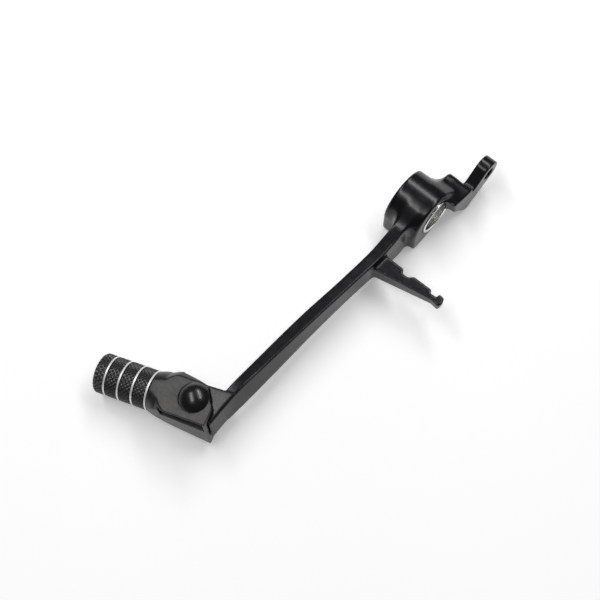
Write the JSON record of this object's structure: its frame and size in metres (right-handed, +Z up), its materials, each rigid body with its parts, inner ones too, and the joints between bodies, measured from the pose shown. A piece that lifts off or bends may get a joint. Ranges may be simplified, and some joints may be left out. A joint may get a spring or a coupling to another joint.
{
  "type": "gear shift lever",
  "caption": "Cast foot lever with a bushed pivot boss, a linkage tab, a notched spring finger and a folding tip that carries a knurled toe peg.",
  "frame": {"origin": "middle of the pivot bore, on its axis", "axes": "+Y along the pivot bore, outboard, to the toe peg's side; -X from the pivot along the arm to the toe; +Z up with the lever level"},
  "size_m": [0.2021, 0.1009, 0.029],
  "materials": {
    "black_casting": "satin",
    "blasted_black": "matte",
    "knurled_black": "anodised",
    "black_oxide": "satin",
    "turned_steel": "polished",
    "spring_steel": "satin"
  },
  "bodies": {
    "lever": {"lever_body": "black_casting", "pivot_bush": "turned_steel"},
    "toe_tip": {"toe_block": "blasted_black", "fold_rivet": "black_oxide", "rivet_washer": "black_oxide", "fold_spring": "spring_steel", "toe_peg": "knurled_black", "peg_lock_washer": "spring_steel", "peg_bolt": "black_oxide"}
  },
  "joints": [
    {"name": "toe_fold", "type": "hinge", "parent": "lever", "child": "toe_tip", "pos_m": [-0.1394, 0.0138, 0.002], "axis": [-0.0442, 0.1392, 0.9893], "range_deg": [-75, 0], "stiffness_Nm_per_rad": 0.35, "springref_deg": 20.05, "deforming": ["fold_spring"]}
  ]
}
